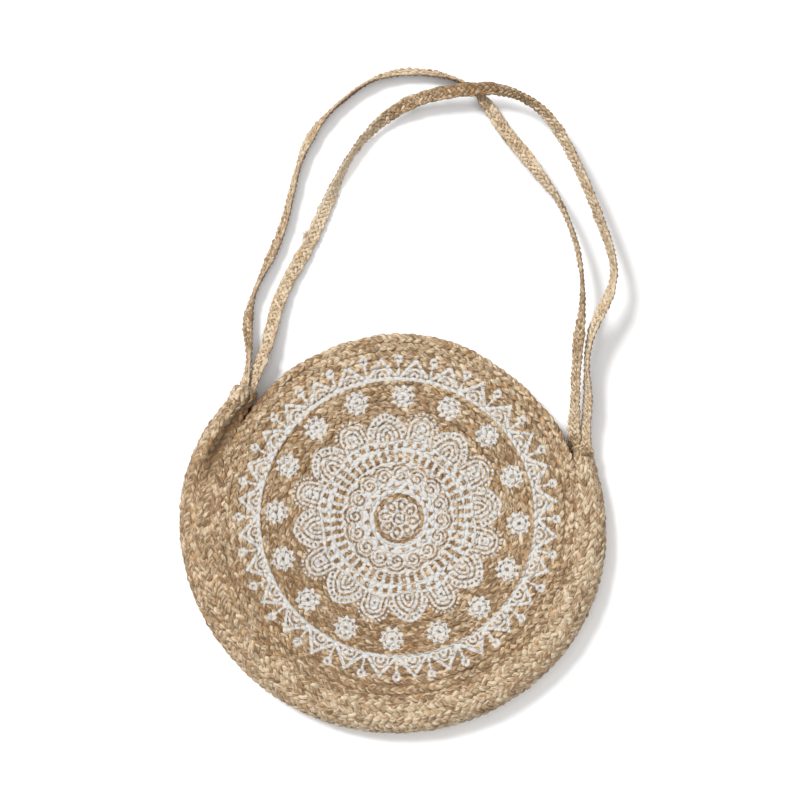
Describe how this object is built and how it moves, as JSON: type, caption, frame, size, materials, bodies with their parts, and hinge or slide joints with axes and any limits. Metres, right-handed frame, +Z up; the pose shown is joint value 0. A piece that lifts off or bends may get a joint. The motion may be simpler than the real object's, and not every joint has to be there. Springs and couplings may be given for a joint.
{
  "type": "round jute shoulder bag",
  "caption": "Round braided jute bag lying on its back, with a bulging side gusset, an open mouth and two long flat shoulder straps sewn in at its folded gusset ends.",
  "frame": {"origin": "middle of the back panel's underside, on the surface that the bag lies on", "axes": "+Z up out of the front panel, +Y from the bag towards its straps, +X to the right seen from above"},
  "size_m": [0.4179, 0.6382, 0.0404],
  "materials": {
    "front_panel": "braided jute with a white printed mandala",
    "back_panel": "braided jute",
    "side_gusset": "braided jute",
    "strap_anchor_left": "sewn jute",
    "strap_anchor_right": "sewn jute",
    "strap_back": "flat braided jute",
    "strap_front": "flat braided jute"
  },
  "bodies": {
    "root": {"front_panel": "front_panel", "back_panel": "back_panel", "side_gusset": "side_gusset", "strap_anchor_left": "strap_anchor_left", "strap_anchor_right": "strap_anchor_right", "strap_back": "strap_back", "strap_front": "strap_front"}
  },
  "joints": []
}
